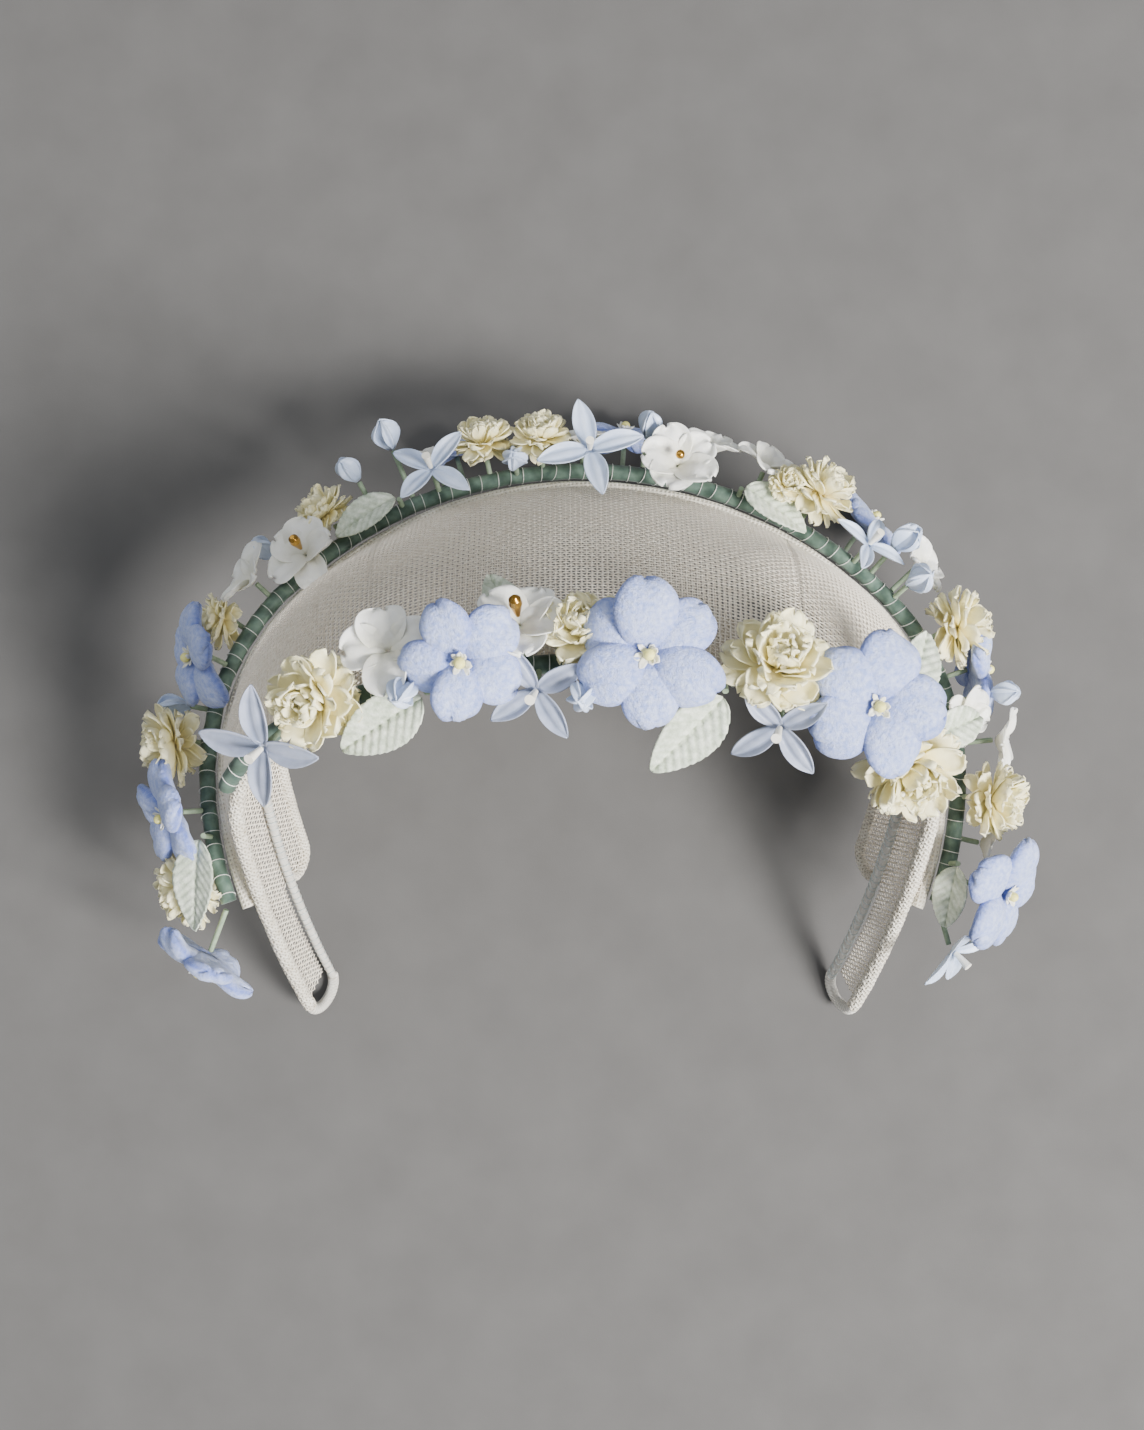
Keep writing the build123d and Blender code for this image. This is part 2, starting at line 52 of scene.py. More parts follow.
class Nodes:
    """A node material whose Principled shader takes constants directly and colour and bump from nodes."""

    def __init__(self, name, **sockets):
        self.material = bpy.data.materials.new(name)
        self.material.use_nodes = True
        self.tree = self.material.node_tree
        self.shader = self.tree.nodes["Principled BSDF"]
        for key, value in sockets.items():
            self.shader.inputs[key.replace("_", " ")].default_value = value
        self.bump = None

    def node(self, kind, inputs=(), **settings):
        made = self.tree.nodes.new(kind)
        for key, value in settings.items():
            setattr(made, key, value)
        for key, value in dict(inputs).items():
            if isinstance(value, bpy.types.NodeSocket):
                self.tree.links.new(value, made.inputs[key])
            else:
                made.inputs[key].default_value = value
        return made

    def place(self, scale=(1, 1, 1), uv=False, rotate=0.0):
        out = self.node("ShaderNodeTexCoord").outputs["UV" if uv else "Object"]
        inputs = {"Vector": out, "Scale": scale, "Rotation": (0, 0, rotate)}
        return self.node("ShaderNodeMapping", inputs).outputs[0]

    def noise(self, scale, detail=3.0, where=None, rough=0.5):
        where = where or self.place()
        return self.node("ShaderNodeTexNoise", {"Vector": where, "Scale": scale, "Detail": detail,
                                                "Roughness": rough}).outputs["Fac"]

    def ramp(self, value, stops):
        made = self.node("ShaderNodeValToRGB", {"Fac": value})
        points = made.color_ramp.elements
        while len(points) < len(stops):
            points.new(0.5)
        for point, (place, colour) in zip(points, stops):
            point.position = place
            point.color = (*colour, 1) if len(colour) == 3 else colour
        return made.outputs["Color"]

    def mix(self, a, b, how, mode="MIX"):
        made = self.node("ShaderNodeMix", data_type="RGBA", blend_type=mode)
        for socket, value in zip((made.inputs[0], made.inputs[6], made.inputs[7]), (how, a, b)):
            if isinstance(value, bpy.types.NodeSocket):
                self.tree.links.new(value, socket)
            else:
                socket.default_value = value if isinstance(value, float) else (*value, 1)
        return made.outputs[2]

    def attribute(self, name):
        return self.node("ShaderNodeAttribute", attribute_name=name).outputs["Fac"]

    def maths(self, how, a, b=0.0):
        made = self.node("ShaderNodeMath", operation=how)
        for socket, value in zip(made.inputs, (a, b)):
            if isinstance(value, bpy.types.NodeSocket):
                self.tree.links.new(value, socket)
            else:
                socket.default_value = value
        return made.outputs[0]

    def colour(self, socket):
        self.tree.links.new(socket, self.shader.inputs["Base Color"])

    def relief(self, height, strength, depth_mm):
        inputs = {"Height": height, "Strength": strength, "Distance": depth_mm * MM}
        if self.bump:
            inputs["Normal"] = self.bump
        self.bump = self.node("ShaderNodeBump", inputs).outputs["Normal"]
        self.tree.links.new(self.bump, self.shader.inputs["Normal"])


def tinted(nodes, light, dark, scale, contrast=0.25, shade=None):
    """Colour that drifts between two tints in patches, and painted shade: darker where the mesh's shade is
    low, in folds and grooves.
    """
    patches = nodes.ramp(nodes.noise(scale, 4.0), [(0.5 - contrast, dark), (0.5 + contrast, light)])
    if shade:
        # painted shade: the shade colour is multiplied in where the mesh's shade attribute is low
        painted_shade = nodes.mix(shade, (1.0, 1.0, 1.0), nodes.attribute("shade"))
        patches = nodes.mix(patches, painted_shade, 1.0, "MULTIPLY")
    nodes.colour(patches)


def velvet_material(name, light, dark, painted_shade):
    m = Nodes(name, Roughness=0.9, Sheen_Weight=0.55, Sheen_Roughness=0.42, Sheen_Tint=(0.86, 0.92, 1.0, 1),
              Specular_IOR_Level=0.15)
    tinted(m, light, dark, 1100, 0.16, painted_shade)
    m.relief(m.noise(1300, 5.0, None, 0.65), 0.9, 0.6)
    m.relief(m.noise(5200, 2.0), 0.5, 0.12)
    return m.material


def petal_material(name, light, dark, painted_shade, gloss, fine=0.35, glow=0.12):
    m = Nodes(name, Roughness=gloss, Sheen_Weight=0.15, Sheen_Roughness=0.5, Subsurface_Weight=glow,
              Subsurface_Scale=0.0015, Specular_IOR_Level=0.35)
    m.shader.inputs["Subsurface Radius"].default_value = (1.0, 0.9, 0.6)
    tinted(m, light, dark, 260, 0.22, painted_shade)
    m.relief(m.noise(900, 4.0), fine, 0.25)
    m.relief(m.noise(6500, 1.0), 0.25, 0.06)
    return m.material


def leaf_material():
    m = Nodes("leaf_velvet_nap", Roughness=0.85, Sheen_Weight=0.3, Sheen_Roughness=0.45,
              Specular_IOR_Level=0.2)
    greens = [(0.28, (0.34, 0.40, 0.30)), (0.50, (0.60, 0.66, 0.55)), (0.70, (0.84, 0.87, 0.78))]
    cloth = m.ramp(m.noise(620, 5.0, None, 0.7), greens)
    # painted shade: a darker green multiplied in where the mesh's shade is low, in the pressed veins and
    # midrib
    painted_shade = m.mix((0.62, 0.66, 0.54), (1.0, 1.0, 1.0), m.attribute("shade"))
    m.colour(m.mix(cloth, painted_shade, 1.0, "MULTIPLY"))
    m.relief(m.noise(2300, 4.0), 0.6, 0.2)
    return m.material


def thread_material(name, light, dark, gloss=0.6):
    """Straw or cotton fibre: fine streaks of tint."""
    m = Nodes(name, Roughness=gloss, Specular_IOR_Level=0.3, Sheen_Weight=0.1)
    tinted(m, light, dark, 900, 0.18)
    m.relief(m.noise(4200, 2.0), 0.4, 0.05)
    return m.material


def wrapped_material(name, light, dark, gap, along, across, angle, gloss=0.75, depth=0.25):
    """Cloth or thread wound round a tube: UV is in millimetres, round it and along it. The gap colour is
    painted shade in the grooves between the turns.
    """
    m = Nodes(name, Roughness=gloss, Specular_IOR_Level=0.25, Sheen_Weight=0.15)
    turned = m.place((1, 1, 1), True, angle)
    split = m.node("ShaderNodeSeparateXYZ", {"Vector": turned})
    ridges = None
    for axis, pitch in (("X", across), ("Y", along)):
        if not pitch:
            continue
        wave = m.maths("SINE", m.maths("MULTIPLY", split.outputs[axis], 2 * math.pi / pitch))
        wave = m.maths("ADD", m.maths("MULTIPLY", wave, 0.5), 0.5)
        ridges = wave if ridges is None else m.maths("MAXIMUM", ridges, wave)
    patches = m.ramp(m.noise(420, 4.0), [(0.3, dark), (0.7, light)])
    # painted shade: the gap colour darkens the grooves between the ridges of the turns
    groove_shade = m.ramp(ridges, [(0.05, gap), (0.45, (1, 1, 1))])
    m.colour(m.mix(patches, groove_shade, 1.0, "MULTIPLY"))
    m.relief(ridges, 0.8, depth)
    m.relief(m.noise(2600, 3.0), 0.4, 0.1)
    return m.material


def plain_material(name, light, dark, scale, rough, metal=0.0, depth=0.05):
    m = Nodes(name, Roughness=rough, Metallic=metal)
    tinted(m, light, dark, scale)
    m.relief(m.noise(scale * 3), 0.3, depth)
    return m.material


# light and dark tint, then the colour of the painted shade in the folds
blue_velvet = velvet_material("blue_velvet_nap", (0.58, 0.66, 0.96), (0.33, 0.43, 0.84), (0.36, 0.42, 0.70))
cream_cloth = petal_material("cream_cloth", (0.98, 0.93, 0.62), (0.93, 0.85, 0.47), (0.90, 0.80, 0.48),
                             gloss=0.5, fine=0.5, glow=0.3)
blue_satin = petal_material("pale_blue_satin_weave", (0.62, 0.71, 0.88), (0.46, 0.55, 0.74),
                            (0.60, 0.66, 0.76), gloss=0.34)
# a darker copy of the pale blue satin: painted shade for the inner star flowers
shaded_blue_satin = petal_material("shaded_pale_blue_satin_weave", (0.40, 0.44, 0.57), (0.24, 0.28, 0.38),
                            (0.60, 0.64, 0.72), gloss=0.34)
white_satin = petal_material("white_satin_weave", (0.93, 0.93, 0.89), (0.84, 0.84, 0.76), (0.76, 0.73, 0.58),
                             gloss=0.36, fine=0.6, glow=0.2)
sage_leaf = leaf_material()
straw = thread_material("sinamay_straw", (0.94, 0.88, 0.77), (0.80, 0.72, 0.60))
# the third colour of each wound material is the painted shade in its grooves
bound_straw = wrapped_material("sinamay_bias_tape", (0.88, 0.84, 0.74), (0.68, 0.62, 0.51),
                               (0.45, 0.40, 0.32), along=0.9, across=0.9, angle=0.7, gloss=0.7, depth=0.5)
smooth_straw = wrapped_material("sinamay_straight_tape", (0.88, 0.84, 0.74), (0.72, 0.67, 0.56),
                                (0.62, 0.57, 0.49), along=0.9, across=0.9, angle=0.1, gloss=0.6, depth=0.25)
cotton = wrapped_material("wound_cotton", (0.88, 0.87, 0.82), (0.74, 0.71, 0.65), (0.50, 0.48, 0.44),
                          along=0.42, across=0, angle=0.12, gloss=0.7, depth=0.2)
tape = wrapped_material("floral_tape", (0.13, 0.20, 0.155), (0.050, 0.088, 0.072), (0.55, 0.58, 0.56),
                        along=6.5, across=0, angle=0.5, gloss=0.5, depth=0.2)
sewing = thread_material("sewing_thread", (0.62, 0.68, 0.68), (0.42, 0.48, 0.48), 0.5)
pale_sewing = thread_material("pale_sewing_thread", (0.80, 0.82, 0.78), (0.62, 0.64, 0.60), 0.5)
steel = plain_material("drawn_wire", (0.55, 0.55, 0.54), (0.40, 0.40, 0.39), 700, 0.35, 1.0)
paper = plain_material("stalk_paper", (0.30, 0.38, 0.26), (0.18, 0.25, 0.17), 900, 0.75)
gold = plain_material("gold_lacquer", (0.62, 0.36, 0.08), (0.46, 0.24, 0.04), 350, 0.24, 1.0, 0.08)
pollen = plain_material("pollen_yellow", (0.90, 0.86, 0.34), (0.78, 0.72, 0.20), 800, 0.5, 0.0, 0.3)
pistil_white = plain_material("pistil_white", (0.92, 0.90, 0.82), (0.80, 0.78, 0.68), 900, 0.35)
pearl = plain_material("seed_pearl", (0.90, 0.88, 0.80), (0.80, 0.78, 0.70), 900, 0.2)


# ---------------------------------------------------------------- pieces made of grids


class Piece:
    """Collects closed shells, then becomes one object on the root body."""

    def __init__(self):
        self.points, self.faces, self.shades, self.uvs, self.count = [], [], [], [], 0

    def add(self, points, faces, shade=None, uv=None):
        points = np.asarray(points).reshape(-1, 3)
        self.points.append(points)
        self.faces.append(np.asarray(faces) + self.count)
        self.shades.append(np.ones(len(points)) if shade is None else np.asarray(shade).reshape(-1))
        self.uvs.append(np.zeros((len(points), 2)) if uv is None else np.asarray(uv).reshape(-1, 2))
        self.count += len(points)

    def shell(self, middle, half, shade):
        """A thin closed shell round a grid of points, that far on each side of it."""
        along, across = np.gradient(middle, axis=0), np.gradient(middle, axis=1)
        normal = np.cross(along, across)
        normal /= np.maximum(np.linalg.norm(normal, axis=2, keepdims=True), 1e-12)
        half = np.broadcast_to(half, middle.shape[:2])[..., None]
        rows, columns = middle.shape[:2]
        index = np.arange(rows * columns).reshape(rows, columns)
        quads = np.stack([index[:-1, :-1], index[1:, :-1], index[1:, 1:], index[:-1, 1:]], -1).reshape(-1, 4)
        rim = np.concatenate([index[0, :-1], index[:-1, -1], index[-1, :0:-1], index[:0:-1, 0]])
        following = np.roll(rim, -1)
        size = rows * columns
        sides = np.stack([rim, following, following + size, rim + size], -1)
        outside, inside = (middle + normal * half).reshape(-1, 3), (middle - normal * half).reshape(-1, 3)
        self.add(np.concatenate([outside, inside]),
                 np.concatenate([quads, quads[:, ::-1] + size, sides]),
                 np.concatenate([np.broadcast_to(shade, (rows, columns)).reshape(-1)] * 2))

    def make(self, name, material, slot, nodes=(), smooth=True):
        points, faces = np.concatenate(self.points), np.concatenate(self.faces)
        mesh = bpy.data.meshes.new(name)
        mesh.vertices.add(len(points))
        mesh.vertices.foreach_set("co", points.astype(np.float32).ravel())
        mesh.loops.add(faces.size)
        mesh.loops.foreach_set("vertex_index", faces.astype(np.int32).ravel())
        mesh.polygons.add(len(faces))
        mesh.polygons.foreach_set("loop_start", np.arange(0, faces.size, 4, dtype=np.int32))
        mesh.polygons.foreach_set("use_smooth", np.full(len(faces), smooth))
        mesh.update(calc_edges=True)
        layer = mesh.attributes.new("shade", "FLOAT", "POINT")
        layer.data.foreach_set("value", np.concatenate(self.shades).astype(np.float32))
        uv = mesh.uv_layers.new(name="UVMap")
        uv.data.foreach_set("uv", np.concatenate(self.uvs)[faces.ravel()].astype(np.float32).ravel())
        mesh.validate()
        obj = bpy.data.objects.new(name, mesh)
        bpy.context.scene.collection.objects.link(obj)
        mesh.materials.append(material)
        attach(obj, "root")
        if nodes:
            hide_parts(*nodes)
        return obj


def tube_grid(piece, line, radius, sides=12, closed=False):
    """A tube along points. radius is a number or a function of (millimetres along, angle) grids."""
    line = np.asarray(line)
    tangent = np.gradient(line, axis=0)
    if closed:
        tangent = (np.roll(line, -1, 0) - np.roll(line, 1, 0))
    tangent /= np.linalg.norm(tangent, axis=1, keepdims=True)
    normal = np.zeros_like(line)
    first = np.cross(tangent[0], (0.3, 0.2, 0.9))
    normal[0] = first / np.linalg.norm(first)
    for i in range(1, len(line)):
        n = normal[i - 1] - tangent[i] * normal[i - 1].dot(tangent[i])
        normal[i] = n / np.linalg.norm(n)
    binormal = np.cross(tangent, normal)
    along = np.concatenate([[0], np.cumsum(np.linalg.norm(np.diff(line, axis=0), axis=1))]) / MM
    angle = np.arange(sides) * 2 * math.pi / sides
    s, a = np.meshgrid(along, angle, indexing="ij")
    r = radius(s, a) if callable(radius) else np.full_like(s, radius)
    spoke = np.cos(a)[..., None] * normal[:, None] + np.sin(a)[..., None] * binormal[:, None]
    ring = line[:, None] + r[..., None] * spoke
    rows = len(line)
    index = np.arange(rows * sides).reshape(rows, sides)
    wrapped = np.roll(index, -1, 1)
    quads = np.stack([index[:-1], wrapped[:-1], wrapped[1:], index[1:]], -1).reshape(-1, 4)
    points = ring.reshape(-1, 3)
    faces = [quads]
    if closed:
        faces.append(np.stack([index[-1], wrapped[-1], wrapped[0], index[0]], -1))
    else:
        for row, flip in ((0, True), (rows - 1, False)):
            for k in range(0, sides - 2, 2):
                quad = [index[row, 0], index[row, k + 1], index[row, k + 2], index[row, (k + 3) % sides]]
                faces.append([quad[::-1] if flip else quad])
    turn = np.minimum(a, 2 * math.pi - a)
    piece.add(points, np.concatenate(faces), None, np.stack([turn * r.mean() / MM, s], -1))


# ---------------------------------------------------------------- the frame's arches

# In millimetres along each arch's own plane: half widths at the feet and at the widest place, that place's
# height, the whole height and the radius between leg and crown. Then the plane's degrees from the table.
FOOT, WIDE, LEG, HIGH, SHOULDER, TILT = 62.5, 68.0, 68.0, 118.0, 44.0, 50.0
# From the front rail back to the rib and to the band's back edge, how far the band closes in for each
# millimetre of that, the height where the back edge turns in, and the height where the crown's arch starts.
SETBACK, BACK, TAPER, LOBE, MERGE = 8.0, 18.0, 0.33, 38.0, 41.0
C_WIDE, C_LEG, C_HIGH, C_SHOULDER, C_TILT, C_FLARE = 76.0, 29.5, 90.0, 50.0, -6.0, 7.0
INNER_STEM, OUTER_STEM, STEM_LEAN = 86.0, 1.0, 45.0
FRONT_R, RIB_R, TIP_R, EDGE_R, CROWN_R, STEM_R = 1.5, 0.95, 1.3, 1.2, 1.4, 1.7
MESH, MESH_GAP, THREAD_ROOM = 0.5, 0.1, 0.5

low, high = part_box("front_edge_binding")
shift = np.array([(low[0] + high[0]) / 2,
                  high[1] - (HIGH * math.cos(math.radians(TILT)) + FRONT_R) * MM,
                  high[2] - (HIGH * math.sin(math.radians(TILT)) + FRONT_R) * MM])


class Arch:
    """Legs, shoulders and crown as tangent arcs in a plane that rises from the table by tilt degrees."""

    def __init__(self, origin, tilt, wide, foot, leg, height, shoulder):
        rise, step = height - leg, wide - foot
        tilt = math.radians(tilt)
        self.origin = np.asarray(origin, float)
        self.up = np.array([0, math.cos(tilt), math.sin(tilt)])
        self.front = np.array([0, -math.sin(tilt), math.cos(tilt)])
        self.leg = leg
        self.leg_r = (leg**2 + step**2) / (2 * step)
        self.leg_x = wide - self.leg_r
        self.shoulder, self.shoulder_x = shoulder, wide - shoulder
        self.crown_r = (wide**2 + rise**2 - 2 * wide * shoulder) / (2 * (rise - shoulder))
        self.crown_y = height - self.crown_r
        self.split = math.atan2(leg - self.crown_y, self.shoulder_x)

    def foot_angle(self, height, offset):
        radius = (self.leg_r if height < self.leg else self.shoulder) + offset
        return height < self.leg, math.asin((height - self.leg) / radius)

    def half_width_at(self, height):
        in_leg, a = self.foot_angle(height, 0)
        if in_leg:
            return self.leg_x + self.leg_r * math.cos(a)
        return self.shoulder_x + self.shoulder * math.cos(a)

    def line(self, count, height=0.0, offset=0.0, setback=0.0, room=0.0):
        """Evenly along it from right foot to left: points in metres, outward directions, its length in mm."""
        in_leg, start = self.foot_angle(height, offset)
        arcs = []
        if in_leg:
            arcs.append((self.leg_x, self.leg, self.leg_r + offset, start, 0.0))
        shoulder_start = 0.0 if in_leg else start
        arcs.append((self.shoulder_x, self.leg, self.shoulder + offset, shoulder_start, self.split))
        crown = (0.0, self.crown_y, self.crown_r + offset, self.split, math.pi - self.split)
        other = [(-x, y, r, math.pi - b, math.pi - a) for x, y, r, a, b in reversed(arcs)]
        arcs = [*arcs, crown, *other]
        lengths = np.array([r * (b - a) for _, _, r, a, b in arcs])
        total = lengths.sum()
        want = np.linspace(room, total - room, count)
        edges = np.concatenate([[0], np.cumsum(lengths)])
        which = np.clip(np.searchsorted(edges, want, side="right") - 1, 0, len(arcs) - 1)
        table = np.array(arcs)[which]
        angle = table[:, 3] + (want - edges[which]) / table[:, 2]
        x = table[:, 0] + table[:, 2] * np.cos(angle)
        y = table[:, 1] + table[:, 2] * np.sin(angle)
        out = np.cos(angle)[:, None] * np.array([1.0, 0, 0]) + np.sin(angle)[:, None] * self.up
        across = x[:, None] * np.array([1.0, 0, 0])
        points = self.origin + across + y[:, None] * self.up - setback * self.front
        return points * MM + shift, out, total


band = Arch((0, 0, 0), TILT, WIDE, FOOT, LEG, HIGH, SHOULDER)
merge = MERGE * band.up
crown_foot = band.half_width_at(MERGE) + FRONT_R + CROWN_R + MESH_GAP
rib_inset = TAPER * SETBACK + MESH / 2 + THREAD_ROOM + RIB_R


def between(share):
    """The arch that lies that share of the way from the headband's arch to the crown's back edge."""
    def mix(a, b):
        return a + (b - a) * share
    return Arch(merge, mix(TILT, C_TILT), mix(WIDE, C_WIDE), mix(band.half_width_at(MERGE), crown_foot),
                mix(LEG - MERGE, C_LEG), mix(HIGH - MERGE, C_HIGH) - C_FLARE * 4 * share * (1 - share),
                mix(SHOULDER, C_SHOULDER))


crown = between(1.0)


def hairpin(start, end, along, count=24):
    """Half a turn from start to end, bulging along that direction."""
    middle, spoke = (start + end) / 2, (start - end) / 2
    along = along - spoke * along.dot(spoke) / spoke.dot(spoke)
    along *= np.linalg.norm(spoke) / np.linalg.norm(along)
    a = np.linspace(0, math.pi, count)[:, None]
    return middle + spoke * np.cos(a) + along * np.sin(a)


# ---------------------------------------------------------------- bindings, wraps, tape and stitches


def lumpy(radius, pitch, depth, grain, seed):
    """Cloth whipped over round an edge: a slanted ridge at each turn and an uneven swell."""
    phases = np.random.default_rng(seed).uniform(0, 2 * math.pi, 5)

    def at(s, a):
        ridge = np.abs(np.sin(math.pi * s / pitch + a / 2)) ** 0.6
        waves = zip((1.9, 4.3, 7.7, 3.1, 1.1), (1, 0, 2, 1, 3), phases)
        swell = sum(np.sin(s / k + a * j + p) for k, j, p in waves) / 5
        return radius * MM * (1 - depth + depth * ridge + grain * swell)
    return at


front_line, _, front_length = band.line(1400)
piece = Piece()
tube_grid(piece, front_line, lumpy(FRONT_R * 1.08, 1.9, 0.24, 0.07, 1), 18)
piece.make("front_rail_whipped_tape", bound_straw, "sinamay_binding", ["front_edge_binding"])

rib_line, _, rib_length = band.line(1100, 0, -rib_inset, SETBACK)
piece = Piece()
tube_grid(piece, rib_line, lumpy(RIB_R * 1.02, 0.9, 0.05, 0.04, 2), 12)
piece.make("rib_cotton_winding", cotton, "cotton_wrap", ["rib_cotton_wrap"])

for name, row in (("right", 0), ("left", -1)):
    down = (front_line[row] - front_line[row + (3 if row == 0 else -3)])
    turn = hairpin(front_line[row], rib_line[row], down, 90)
    piece = Piece()
    tube_grid(piece, turn, lumpy(TIP_R, 0.8, 0.12, 0.05, 3 + row), 16)
    piece.make(f"tip_winding_{name}", cotton, "cotton_wrap", [f"tip_wrap_{name}"])

back_line, _, _ = band.line(1100, LOBE, -TAPER * BACK, BACK)
rib_side = SETBACK + RIB_R + EDGE_R + THREAD_ROOM
inner_foot, _, _ = band.line(3, LOBE, -TAPER * rib_side, rib_side)
whole_back = [back_line]
for row in (0, -1):
    down = back_line[row] - back_line[row + (3 if row == 0 else -3)]
    curl = hairpin(back_line[row], inner_foot[row], down, 60)
    whole_back = [curl[::-1][:-1], *whole_back] if row == 0 else [*whole_back, curl[1:]]
piece = Piece()
tube_grid(piece, np.concatenate(whole_back), lumpy(EDGE_R * 1.02, 1.5, 0.12, 0.05, 6), 14)
piece.make("band_back_edge_tape", bound_straw, "sinamay_binding", ["band_back_edge_binding"])

crown_line, _, crown_length = crown.line(1300)
piece = Piece()
tube_grid(piece, crown_line, lumpy(CROWN_R * 1.02, 9.0, 0.03, 0.05, 8), 16)
piece.make("crown_edge_tape", smooth_straw, "sinamay_binding", ["crown_edge_binding"])

lean, gap = math.radians(STEM_LEAN), FRONT_R + STEM_R + THREAD_ROOM
inner_stem, _, inner_length = band.line(700, INNER_STEM, gap * math.cos(lean), -gap * math.sin(lean))
outer_stem, _, outer_length = crown.line(1200, OUTER_STEM, CROWN_R + STEM_R + THREAD_ROOM)
for name, line, seed in (("inner", inner_stem, 11), ("outer", outer_stem, 12)):
    piece = Piece()
    tube_grid(piece, line, lumpy(STEM_R, 7.0, 0.05, 0.09, seed), 14)
    piece.make(f"{name}_stem_taping", tape, "green_tape", [f"{name}_stem_tape"])


def turns(piece, line, total, pitch, radius, thread, slant, seed):
    """Separate turns of thread round a line, a little uneven."""
    jitter = np.random.default_rng(seed)
    count = round(total / pitch)
    tangent = np.gradient(line, axis=0)
    for i in range(count):
        at = int((i + 0.5 + jitter.uniform(-0.2, 0.2)) / count * (len(line) - 1))
        t = tangent[at] / np.linalg.norm(tangent[at])
        side = np.cross(t, (0.1, 0.3, 0.9))
        side /= np.linalg.norm(side)
        other = np.cross(t, side)
        a = np.linspace(0, 2 * math.pi, 17)[:-1] + jitter.uniform(0, 6)
        tilt = slant + jitter.uniform(-0.25, 0.25)
        ring = line[at] + MM * (radius * (np.cos(a)[:, None] * side + np.sin(a)[:, None] * other)
                                + radius * tilt * np.sin(a)[:, None] * t)
        tube_grid(piece, ring, thread * MM / 2, 5, True)


piece = Piece()
turns(piece, rib_line, rib_length, 2.1, RIB_R + 0.1, 0.22, 0.9, 21)
piece.make("rib_whip_stitches", sewing, "thread", ["rib_stitches"])
piece = Piece()
turns(piece, outer_stem, outer_length, 3.2, STEM_R + 0.1, 0.17, 0.35, 22)
turns(piece, inner_stem, inner_length, 4.0, STEM_R + 0.1, 0.17, 0.35, 23)
piece.make("stem_sewing_turns", pale_sewing, "thread", ["stem_stitches"])


# ---------------------------------------------------------------- woven sinamay


def weave(piece, centre, normal, there, width, thick, swing):
    """Flat threads over and under each other through a grid of crossings, of which there says which exist."""
    rows, columns = there.shape
    parity = ((np.add.outer(np.arange(rows), np.arange(columns)) % 2) * 2 - 1).astype(float)
    for axis in (0, 1):
        c = np.swapaxes(centre, 0, 1) if axis else centre
        n = np.swapaxes(normal, 0, 1) if axis else normal
        ok = there.T if axis else there
        over = (parity.T if axis else -parity)[..., None]
        tangent = np.gradient(c, axis=1)
        tangent /= np.maximum(np.linalg.norm(tangent, axis=2, keepdims=True), 1e-12)
        side = np.cross(n, tangent)
        side /= np.maximum(np.linalg.norm(side, axis=2, keepdims=True), 1e-12)
        sway = rng.uniform(-0.09, 0.09, ok.shape)[..., None] * MM
        broad = (width * (1 + rng.uniform(-0.18, 0.18, (ok.shape[0], 1)))[..., None]) * MM / 2
        middle = c + side * sway + n * over * swing * MM
        corners = np.stack([middle + side * broad, middle + n * thick * MM / 2, middle - side * broad,
                            middle - n * thick * MM / 2], 2)
        index = np.arange(corners.shape[0] * corners.shape[1] * 4).reshape(*corners.shape[:2], 4)
        linked = ok[:, :-1] & ok[:, 1:]
        a, b = index[:, :-1][linked], index[:, 1:][linked]
        faces = [np.stack([a[:, k], b[:, k], b[:, (k + 1) % 4], a[:, (k + 1) % 4]], -1) for k in range(4)]
        before = np.pad(linked, ((0, 0), (1, 0)))
        after = np.pad(linked, ((0, 0), (0, 1)))
        faces += [index[after & ~before], index[before & ~after][:, ::-1]]
        faces = np.concatenate(faces)
        used, packed = np.unique(faces, return_inverse=True)
        piece.add(corners.reshape(-1, 3)[used], packed.reshape(faces.shape))


BAND_PITCH = 1.12            # millimetres between the band's threads
FANS = 40                    # stretches from front to back in the crown's surface
OPEN = 4.0                   # height above each merge where the crown's mesh starts
THREAD_THICK = 0.27          # of the crown's threads
BAND_THREAD_WIDTH = 0.40
BAND_THREAD_THICK = 0.25
SWING = 0.13                 # how far a thread passes over or under the sheet's middle


def crown_surface(columns, level):
    """Points on the crown from headband to edge, and outward directions, at each place along it."""
    lines, outs = [], []
    for i in range(FANS + 1):
        share = i / FANS
        arch = between(share)
        points, out, _ = arch.line(columns, OPEN * (0.4 + 0.6 * (1 - share)), level)
        lines.append(points)
        outs.append(out)
    return np.array(lines), np.array(outs)


